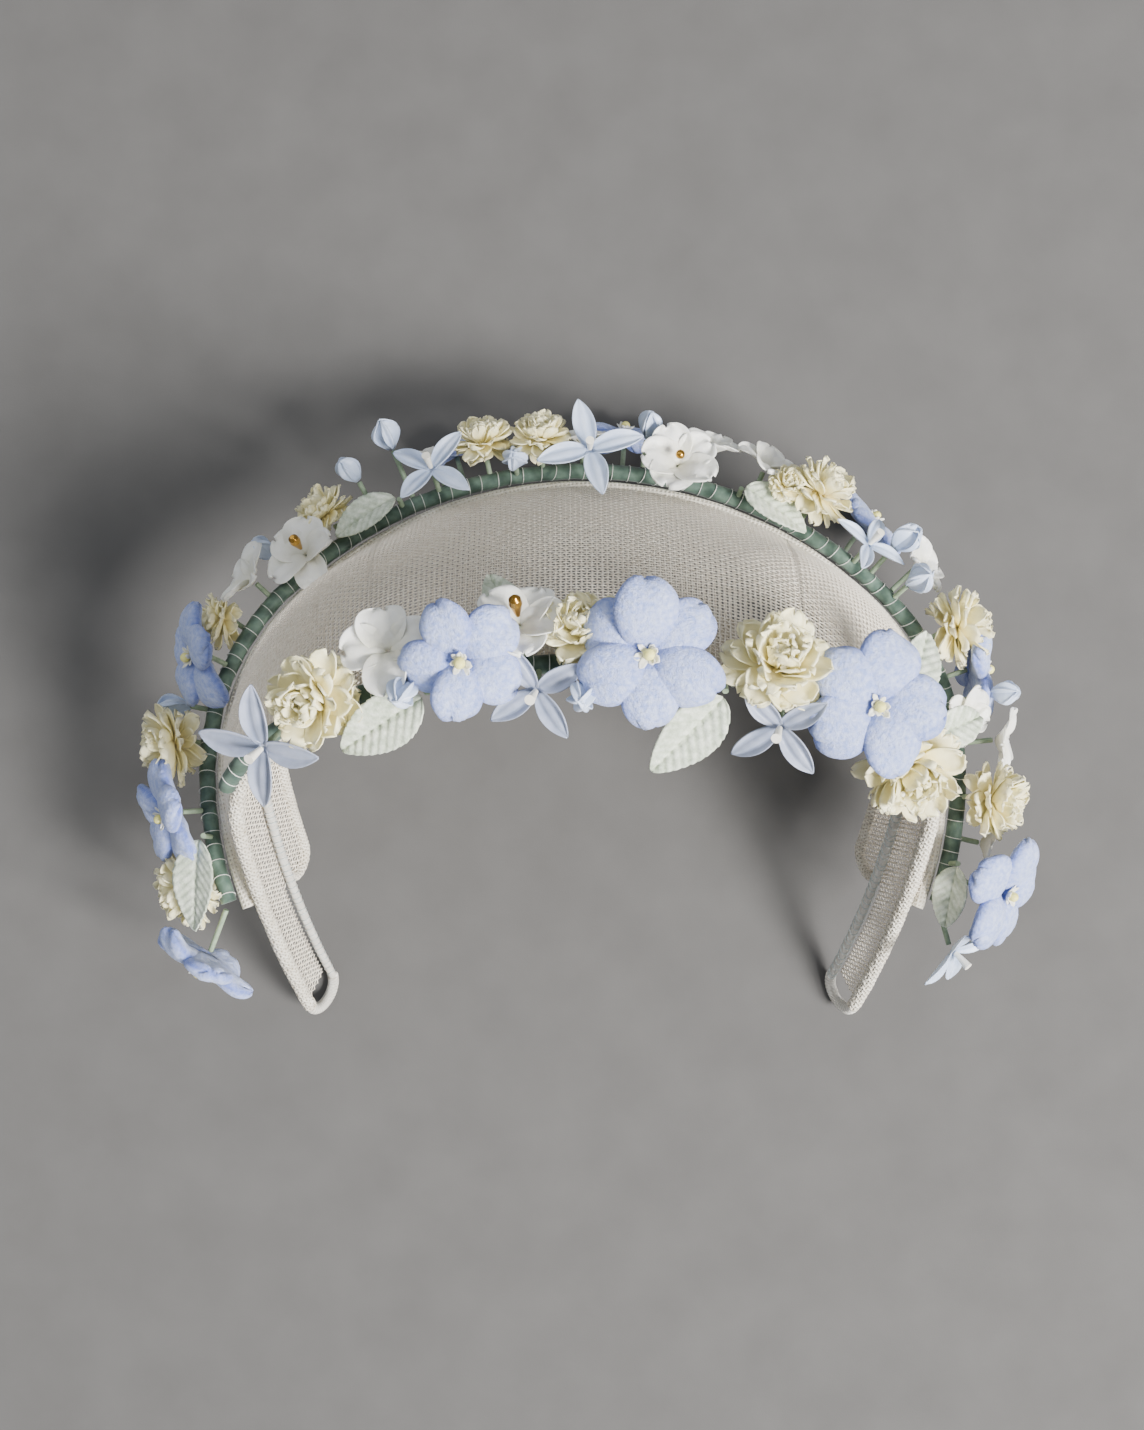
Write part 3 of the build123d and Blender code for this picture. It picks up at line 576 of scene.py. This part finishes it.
def crown_sheet(name, level, across, pitch, node, width):
    """One layer of the crown as threads that far apart across and down, in three pieces."""
    columns = int(crown_length / across)
    lines, outs = crown_surface(columns, level)
    steps = np.linalg.norm(np.diff(lines, axis=0), axis=2)
    run = np.concatenate([np.zeros((1, columns)), np.cumsum(steps, axis=0)]) / MM
    run = run[-1] - run
    depth = int(run[0].max() / pitch) + 1
    centre = np.zeros((columns, depth, 3))
    normal = np.zeros((columns, depth, 3))
    there = np.zeros((columns, depth), bool)
    for c in range(columns):
        want = 0.6 + np.arange(depth) * pitch
        order = run[::-1, c]
        for axis in range(3):
            centre[c, :, axis] = np.interp(want, order, lines[::-1, c, axis])
            normal[c, :, axis] = np.interp(want, order, outs[::-1, c, axis])
        there[c] = want < order[-1] - FRONT_R * 0.4
    along = np.gradient(centre, axis=0)
    down = np.gradient(centre, axis=1)
    face = np.cross(along, down)
    face *= np.sign((face * normal).sum(2, keepdims=True))
    size = np.linalg.norm(face, axis=2, keepdims=True)
    normal = np.where(size > 1e-12, face / np.maximum(size, 1e-12), normal)
    cuts = np.linspace(0, columns, 4).astype(int)
    for k, part in enumerate(("right", "middle", "left")):
        piece = Piece()
        block = slice(cuts[k], min(cuts[k + 1] + (k < 2), columns))
        weave(piece, centre[block], normal[block], there[block], width, THREAD_THICK, SWING)
        obj = piece.make(f"{name}_{part}", straw, "sinamay_mesh", [node] if part == "middle" else [])


crown_sheet("crown_sinamay_upper", 0.3, across=1.10, pitch=0.99, node="crown_mesh_upper", width=0.31)
crown_sheet("crown_sinamay_lower", -0.3, across=1.08, pitch=1.02, node="crown_mesh_lower", width=0.27)


def band_sheet():
    """The band's bias-cut strip, in two pieces."""
    samples = 900
    setbacks = np.linspace(0, BACK, 13)
    lines = np.array([band.line(samples, 0, -TAPER * d, d)[0] for d in setbacks])
    outs = np.array([band.line(samples, 0, -TAPER * d, d)[1] for d in setbacks])
    step = BAND_PITCH / math.sqrt(2)
    total = front_length
    count = int(total / step / 2)
    reach = int(BACK / step) + 1
    i, j = np.meshgrid(np.arange(0, count + reach), np.arange(-reach, count + reach), indexing="ij")
    place, setback = (i + j) * step, (i - j) * step
    valid = (setback >= 0.4) & (setback <= BACK - 0.3) & (place > 1) & (place < total - 1)
    heights = np.interp(place, np.linspace(0, total, samples), np.dot((lines[0] - shift) / MM, band.up))
    turn = (BACK - rib_side) / 2 - 0.3
    upper = heights > LOBE
    lower = (heights <= LOBE) & (setback < SETBACK + RIB_R * 0.5)
    lobe = (heights - LOBE) ** 2 + (setback - (rib_side + BACK) / 2) ** 2 < turn**2
    there = valid & (upper | lower | lobe)
    u = np.clip(place / total, 0, 1) * (samples - 1)
    w = np.clip(setback / BACK, 0, 1) * 12
    u0, w0 = np.minimum(u.astype(int), samples - 2), np.minimum(w.astype(int), 11)
    fu, fw = (u - u0)[..., None], (w - w0)[..., None]

    def blend_of(grid):
        return ((grid[w0, u0] * (1 - fu) + grid[w0, u0 + 1] * fu) * (1 - fw)
                + (grid[w0 + 1, u0] * (1 - fu) + grid[w0 + 1, u0 + 1] * fu) * fw)
    centre, normal = blend_of(lines), blend_of(outs)
    for part, keep in (("right", place < total / 2 + step), ("left", place >= total / 2 - step)):
        mask = there & keep
        used_i, used_j = np.where(mask.any(1))[0], np.where(mask.any(0))[0]
        block = np.ix_(range(used_i[0], used_i[-1] + 1), range(used_j[0], used_j[-1] + 1))
        piece = Piece()
        weave(piece, centre[block], normal[block], mask[block], BAND_THREAD_WIDTH, BAND_THREAD_THICK, SWING)
        nodes = ["band_mesh"] if part == "right" else []
        obj = piece.make(f"band_sinamay_{part}", straw, "sinamay_mesh", nodes)


band_sheet()


# ---------------------------------------------------------------- flowers, each where its CAD solid stands

HEART = 0.8                  # the CAD heart's share of a whole flower's radius

def solids_of(node):
    """[(points, triangles)] of each solid in a CAD node."""
    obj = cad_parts[node]
    mesh = obj.data
    mesh.calc_loop_triangles()
    points = np.zeros(len(mesh.vertices) * 3)
    mesh.vertices.foreach_get("co", points)
    turn, place = np.array(obj.matrix_world.to_3x3()), np.array(obj.matrix_world.translation)
    points = points.reshape(-1, 3) @ turn.T + place
    triangles = np.zeros(len(mesh.loop_triangles) * 3, int)
    mesh.loop_triangles.foreach_get("vertices", triangles)
    _, first, merged = np.unique(np.round(points, 7), axis=0, return_index=True, return_inverse=True)
    points, triangles = points[first], merged.reshape(-1)[triangles].reshape(-1, 3)
    label = np.arange(len(points))
    while True:
        lowest = label[triangles].min(1)
        previous = label.copy()
        for k in range(3):
            np.minimum.at(label, triangles[:, k], lowest)
        if (label == previous).all():
            break
    return [(points, triangles[label[triangles[:, 0]] == k]) for k in np.unique(label[triangles[:, 0]])]


def stand_of(points, triangles):
    """Where a flower stands (origin at its back, Z the way it faces, X to its first petal or tip), then in
    millimetres its radius across Z, its extent along X and its depth."""
    a, b, c = (points[triangles[:, k]] for k in range(3))
    cross = np.cross(b - a, c - a)
    area = np.linalg.norm(cross, axis=1)
    unit = cross / np.maximum(area[:, None], 1e-15)
    best, facing, members = 0, None, None
    for k in np.argsort(-area)[:80]:
        same = unit @ unit[k] > 0.9996
        if same.sum() >= 6 and area[same].sum() > best * 1.02:
            best, facing, members = area[same].sum(), unit[k], same
    centre = ((a + b + c)[members] / 3 * area[members, None]).sum(0) / area[members].sum()
    used = points[np.unique(triangles)] - centre
    depth = -(used @ facing).min()
    flat = used - np.outer(used @ facing, facing)
    reach = np.linalg.norm(flat, axis=1)
    x = flat[reach.argmax()] / reach.max()
    stand = (centre - facing * depth, x, np.cross(facing, x), facing)
    return stand, reach.max() / MM, np.ptp(flat @ x) / MM, depth / MM


def put(stand, points):
    """Points in mm on a flower's own axes, in the world in metres."""
    origin, x, y, z = stand
    return origin + MM * (points[..., :1] * x + points[..., 1:2] * y + points[..., 2:] * z)


def petal(length, width, rise, curl, cup=0.0, base=0.3, broad=0.6, point=0.5, notch=0.0, ribs=0,
          rib_height=0.0, crinkle=0.0, rows=9, columns=7, start=0.0, twist=0.0):
    """A petal along +X from its foot, with its grid's places from foot to tip and from side to side. rise and
    curl are its slopes at its foot and at its tip, in degrees."""
    u = 1 - (1 - np.linspace(0, 1, rows)) ** 1.4
    v = np.sin(np.linspace(-1, 1, columns) * math.pi / 2)
    grid_u, grid_v = np.meshgrid(u, v, indexing="ij")
    foot = base + (1 - base) * np.sin(math.pi / 2 * np.clip(grid_u / broad, 0, 1))
    tip = np.clip(1 - np.clip((grid_u - broad) / (1 - broad), 0, 1) ** 2 * 0.985, 0, 1) ** point
    half = width / 2 * np.where(grid_u < broad, foot, tip)
    fine = np.linspace(0, 1, 80)
    angle = np.radians(rise + (curl - rise) * fine)
    reach_x = np.concatenate([[0], np.cumsum(np.cos(angle[:-1]))]) / 79
    reach_z = np.concatenate([[0], np.cumsum(np.sin(angle[:-1]))]) / 79
    stretch = grid_u - notch * np.exp(-(grid_v / 0.35) ** 2) * grid_u ** 5
    x, z = np.interp(stretch, fine, reach_x) * length, np.interp(stretch, fine, reach_z) * length
    a = np.radians(rise + (curl - rise) * grid_u)
    lift = cup * grid_v**2 * half
    if ribs:
        fade = np.sin(math.pi * np.clip(grid_u * 1.05, 0, 1))
        lift = lift + rib_height * np.cos(grid_v * math.pi * ribs) * fade
    if crinkle:
        f = rng.uniform(2.5, 4.5)
        lift = lift + crinkle * np.sin(grid_v * f * 2 + rng.uniform(0, 6)) * grid_u**2 \
            + crinkle * 0.6 * np.sin(grid_u * 9 + grid_v * 3 + rng.uniform(0, 6)) * grid_u
    lift = lift + twist * grid_v * half * grid_u
    y = grid_v * half
    return np.stack([x - np.sin(a) * lift + start, y, z + np.cos(a) * lift], -1), grid_u, grid_v


def spun(points, degrees):
    a = math.radians(degrees)
    return np.stack([points[..., 0] * math.cos(a) - points[..., 1] * math.sin(a),
                     points[..., 0] * math.sin(a) + points[..., 1] * math.cos(a), points[..., 2]], -1)


def raised(points, height):
    return points + np.array([0, 0, height])


def rest_on_table(piece):
    """Petals that reach the table bend up from it."""
    bend = 6 * MM
    for k, points in enumerate(piece.points):
        z = points[:, 2]
        if z.min() < TABLE_GAP:
            squeeze = (bend - TABLE_GAP) / (bend - z.min())
            height = np.where(z < bend, bend - (bend - z) * squeeze, z)
            piece.points[k] = np.column_stack([points[:, :2], height])


def velvet_flower(piece, ruff, stand, radius, depth, petals):
    """Plump petals that overlap in turn, and a frayed ruff round the stamen."""
    r = radius / HEART
    for k in range(petals):
        wide = {5: 0.90, 6: 0.84}[petals] * r * rng.uniform(0.90, 1.06)
        shape, u, v = petal(length=r * rng.uniform(0.96, 1.08), width=wide, rise=36 + rng.uniform(-14, 16),
                            curl=-34 + rng.uniform(-22, 18), cup=0.10 * rng.uniform(-1, 1.4), base=0.42,
                            broad=0.60, crinkle=0.3, rows=16, columns=15, start=0.6,
                            twist=rng.uniform(-0.4, 0.4))
        rim = np.clip((1 - np.abs(v) ** 2.4) * (1 - u**6) * np.clip(u * 4, 0.12, 1), 0, 1)
        half = (0.16 + 0.155 * r * np.sqrt(rim)) * MM
        # painted shade: darker at the petals' sides, tips and feet, where they overlap and meet
        shade = np.clip(0.15 + 1.15 * np.sqrt(rim) * np.clip(u * 2.0, 0, 1), 0, 1)
        swell = 0.12 * np.sin(u * 7 + rng.uniform(0, 6)) * np.cos(v * 2.4 + rng.uniform(0, 6)) * rim
        shape[..., 2] += swell
        lifted = raised(shape, depth * 0.2 + (k % 2) * 0.05 * r)
        turned = spun(lifted, 360 / petals * (k + rng.uniform(-0.09, 0.09)))
        piece.shell(put(stand, turned), half, shade)
    for k in range(7):
        shape, _, _ = petal(length=rng.uniform(1.8, 2.9), width=rng.uniform(0.9, 1.5),
                            rise=rng.uniform(15, 50), curl=rng.uniform(20, 70), cup=0.3, base=0.5,
                            crinkle=0.1, rows=4, columns=4, start=0.3)
        turned = spun(raised(shape, depth * 0.9), 51 * k + rng.uniform(-15, 15))
        # the ruff is evenly a little in painted shade
        ruff.shell(put(stand, turned), 0.11 * MM, 0.85)


def mum(piece, pearls, stand, radius, depth, pearly):
    """A ball of petals in rings, from the lowest ring to the closed middle, with a few pearls on some."""
    r = radius / HEART
    # petals in the ring, their length, the slopes at foot and tip, and their width
    rings = [(8, 0.88, -52, -18, 0.52), (9, 1.00, -26, 8, 0.54), (9, 1.02, -2, 30, 0.54),
             (9, 0.98, 20, 56, 0.52), (8, 0.92, 40, 80, 0.50), (7, 0.82, 58, 104, 0.48),
             (5, 0.64, 74, 128, 0.46)]
    for ring, (count, length, rise, curl, wide) in enumerate(rings):
        for k in range(count):
            shape, u, _ = petal(length=r * length * rng.uniform(0.88, 1.08),
                                width=r * wide * rng.uniform(0.9, 1.25), rise=rise + rng.uniform(-14, 14),
                                curl=curl + rng.uniform(-24, 24), cup=rng.uniform(0.0, 0.5), broad=0.68,
                                point=0.40, notch=rng.uniform(0.05, 0.18), crinkle=0.055 * r, rows=8,
                                start=0.4, twist=rng.uniform(-0.4, 0.4))
            place = k + ring * 0.5 + rng.uniform(-0.25, 0.25)
            turned = spun(raised(shape, depth * 0.42), 360 / count * place)
            # painted shade, darker towards each petal's foot inside the ball
            piece.shell(put(stand, turned), 0.10 * MM, np.clip(0.25 + 1.0 * u, 0, 1))
    if pearly:
        for k in range(9):
            a, h = rng.uniform(0, 2 * math.pi), rng.uniform(0.25, 0.75)
            top = depth * rng.uniform(0.85, 1.05)
            at = np.array([math.cos(a) * h * r * 0.6, math.sin(a) * h * r * 0.6, top])
            bead(pearls, put(stand, at[None])[0], rng.uniform(0.5, 0.75))


def bead(piece, centre, radius):
    """A small ball of six rings of eight points, closed by four-sided faces."""
    polar, round_it = np.linspace(0.12, math.pi - 0.12, 6), np.linspace(0, 2 * math.pi, 9)[:-1]
    a, b = np.meshgrid(polar, round_it, indexing="ij")
    points = centre + radius * MM * np.stack([np.sin(a) * np.cos(b), np.sin(a) * np.sin(b), np.cos(a)], -1)
    index = np.arange(48).reshape(6, 8)
    around = np.roll(index, -1, 1)
    faces = np.stack([index[:-1], index[1:], around[1:], around[:-1]], -1).reshape(-1, 4)
    caps = [[index[0, k] for k in order] for order in ((0, 1, 2, 3), (0, 3, 4, 5), (0, 5, 6, 7))]
    caps += [[index[5, k] for k in order] for order in ((3, 2, 1, 0), (5, 4, 3, 0), (7, 6, 5, 0))]
    piece.add(points, np.concatenate([faces, np.array(caps)]))


def star(piece, stand, radius, depth):
    """Four long satin petals with a pressed rib on each side of the middle."""
    for k in range(4):
        shape, u, v = petal(length=radius * rng.uniform(0.96, 1.04), width=radius * 0.42,
                            rise=14 + rng.uniform(-6, 8), curl=2 + rng.uniform(-16, 12), cup=0.22, base=0.34,
                            broad=0.46, point=0.85, ribs=2, rib_height=0.32, crinkle=0.06, rows=13,
                            columns=13, start=0.2, twist=rng.uniform(-0.2, 0.2))
        turned = spun(raised(shape, depth * 0.6), 90 * k + rng.uniform(-5, 5))
        # painted shade, darker at the petal's foot and in the grooves beside the ribs
        shade = np.clip(0.35 + u + 0.25 * np.cos(v * math.pi * 2), 0, 1)
        piece.shell(put(stand, turned), 0.13 * MM, shade)


def cup_flower(piece, stand, radius, petals):
    """A shallow cup of crinkled satin petals."""
    r = radius / HEART
    for k in range(petals):
        shape, u, _ = petal(length=r * rng.uniform(1.0, 1.18), width=r * rng.uniform(0.85, 1.1),
                            rise=62 + rng.uniform(-12, 12), curl=-8 + rng.uniform(-35, 35), cup=0.30,
                            base=0.22, broad=0.64, point=0.42, notch=rng.uniform(0.04, 0.12), ribs=2,
                            rib_height=0.05 * r, crinkle=0.085 * r, rows=13, columns=13, start=0.3,
                            twist=rng.uniform(-0.35, 0.35))
        shape[..., 2] *= 0.62
        lifted = raised(shape, 0.2 + 0.3 * (k % 2))
        turned = spun(lifted, 360 / petals * (k + rng.uniform(-0.08, 0.08)))
        # painted shade, darker towards each petal's foot
        piece.shell(put(stand, turned), 0.11 * MM, np.clip(0.2 + 1.1 * u, 0, 1))


def leaf(piece, stand, length, depth):
    """A wired leaf with pressed veins and a toothed edge, its foot where the CAD leaf starts."""
    rows, columns = 61, 21
    u, v = np.meshgrid(np.linspace(0, 1, rows), np.linspace(-1, 1, columns), indexing="ij")
    half = length * 0.255 * np.clip(np.sin(math.pi * np.clip(u, 0, 1) ** 0.78), 0, 1) ** 0.72 + 0.25
    teeth = 1 + 0.05 * ((u * 13 + 0.15) % 1) * np.abs(v) ** 5
    y = v * half * teeth
    veins = np.sin(2 * math.pi * (u * length - np.abs(y) * 0.9) / 1.9)
    x = (u - 0.42) * length
    pressed = 0.16 * veins * (1 - 0.3 * np.abs(v)) * np.clip(half / 2, 0, 1)
    bent = 0.20 * np.abs(y) - 1.7 * (u - 0.45) ** 2
    wavy = 0.35 * np.sin(u * 5 + v * 1.4 + rng.uniform(0, 6)) * np.abs(v)
    midrib = 0.4 * np.exp(-(y / 0.35) ** 2)
    middle = put(stand, np.stack([x, y, pressed + bent + wavy - midrib + depth * 0.8], -1))
    # painted shade, darker in the pressed grooves between the veins and along the midrib
    piece.shell(middle, 0.15 * MM, np.clip(0.80 + 0.20 * veins - 0.4 * np.exp(-(y / 0.3) ** 2), 0, 1))


def bud(piece, stand, radius):
    """Four petals closed over each other."""
    for k in range(4):
        shape, u, _ = petal(length=radius * 2.3, width=radius * 1.8, rise=58 + rng.uniform(-8, 8),
                            curl=128 + rng.uniform(-14, 18), cup=0.55, crinkle=0.10, columns=9, start=0.25,
                            twist=rng.uniform(-0.2, 0.2))
        # painted shade, darker towards each petal's foot
        piece.shell(put(stand, spun(shape, 90 * k + rng.uniform(-14, 14))), 0.12 * MM, np.clip(0.3 + u, 0, 1))


FLOWER_WORDS = ("velvet", "mum", "star_flowers", "cup", "white", "teardrop", "gold_centre", "leaf", "leaves",
                "buds")
PEARLY_MUMS = ("mum_right", "mum_centre_right", "mum_top_right")
ruffs, pearls = Piece(), Piece()
for node in sorted(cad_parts):
    if not any(word in node for word in FLOWER_WORDS):
        continue
    piece = Piece()
    for stand, radius, extent, depth in [stand_of(*solid) for solid in solids_of(node)]:
        if "velvet" in node:
            slot, material = "blue_velvet", blue_velvet
            velvet_flower(piece, ruffs, stand, radius, depth, 6 if node == "velvet_flower_middle" else 5)
            rest_on_table(piece)
        elif node.startswith("mum_") or node == "small_mums":
            slot, material = "cream_petals", cream_cloth
            mum(piece, pearls, stand, radius, depth, node in PEARLY_MUMS)
        elif "star" in node:
            slot = "pale_blue_satin"
            # the inner star flowers get the pale blue satin darkened by painted shade
            material = shaded_blue_satin if "inner" in node else blue_satin
            star(piece, stand, radius, depth)
        elif "leaf" in node or "leaves" in node:
            slot, material = "leaf_velvet", sage_leaf
            leaf(piece, stand, extent, depth)
        elif "buds" in node:
            slot, material = "pale_blue_satin", blue_satin
            bud(piece, stand, radius)
        else:
            slot, material = "white_satin", white_satin
            cup_flower(piece, stand, radius, 5 if "teardrop" in node or "gold" in node else 4)
    piece.make(f"{node}_petals", material, slot, [node])
ruffs.make("velvet_flower_ruffs", white_satin, "cream_petals")
pearls.make("seed_pearls", pearl, "stamens")

for node, material in (("frame_wire", steel), ("band_back_edge_wire", steel), ("crown_edge_wire", steel),
                       ("inner_stem_wires", steel), ("outer_stem_wires", steel), ("flower_stalks", paper),
                       ("yellow_stamens", pollen), ("star_pistils", pistil_white), ("gold_stamens", gold)):
    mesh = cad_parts[node].data
    for k in range(max(1, len(mesh.materials))):
        if k < len(mesh.materials):
            mesh.materials[k] = material
        else:
            mesh.materials.append(material)


# ---------------------------------------------------------------- floor, light and camera

floor_mesh = bpy.data.meshes.new("floor")
FLOOR_RADIUS, FLOOR_SIDES = 40, 64
corners = [2 * math.pi * k / FLOOR_SIDES for k in range(FLOOR_SIDES)]
around = [(FLOOR_RADIUS * math.cos(a), FLOOR_RADIUS * math.sin(a), 0) for a in corners]
floor_mesh.from_pydata(around, [], [tuple(range(FLOOR_SIDES))])
floor = bpy.data.objects.new("floor", floor_mesh)
bpy.context.scene.collection.objects.link(floor)
floor_cloth = Nodes("floor_cloth", Roughness=0.9, Specular_IOR_Level=0.1)
tinted(floor_cloth, (0.115, 0.113, 0.112), (0.100, 0.098, 0.097), 60)
floor_cloth.relief(floor_cloth.noise(2500), 0.2, 0.1)
floor_mesh.materials.append(floor_cloth.material)

world = bpy.data.worlds.new("studio")
bpy.context.scene.world = world
world.use_nodes = True
world.node_tree.nodes["Background"].inputs["Color"].default_value = (0.92, 0.95, 1.0, 1)
world.node_tree.nodes["Background"].inputs["Strength"].default_value = 0.34


def softbox(name, place, aim, size, power, colour):
    data = bpy.data.lights.new(name, "AREA")
    data.energy, data.size, data.color = power, size, colour
    light = bpy.data.objects.new(name, data)
    light.location = place
    light.rotation_euler = (Vector(aim) - Vector(place)).to_track_quat("-Z", "Y").to_euler()
    bpy.context.scene.collection.objects.link(light)


MIDDLE = (0, 0, 0.03)
# watts, and metres
softbox("key", (0.75, -0.45, 0.95), MIDDLE, size=0.45, power=56, colour=(1.0, 0.975, 0.94))
softbox("fill", (-0.8, 0.5, 0.9), MIDDLE, size=1.0, power=4, colour=(0.92, 0.96, 1.0))
sky = bpy.data.lights.new("sky", "SUN")
sky.energy, sky.angle, sky.color = 0.6, math.radians(50), (0.96, 0.98, 1.0)
sky_light = bpy.data.objects.new("sky", sky)
sky_light.rotation_euler = (math.radians(-12), math.radians(8), 0)
bpy.context.scene.collection.objects.link(sky_light)

camera = bpy.data.objects.new("camera", bpy.data.cameras.new("camera"))
camera.location = Vector(shift) + Vector((-2.3, 66.7, 368.0)) * MM
camera.rotation_euler = (0, 0, 0)
camera.data.sensor_width = 36
camera.data.sensor_fit = "AUTO"
camera.data.lens = 40.3
camera.data.clip_start = 0.01
bpy.context.scene.collection.objects.link(camera)
bpy.context.scene.camera = camera
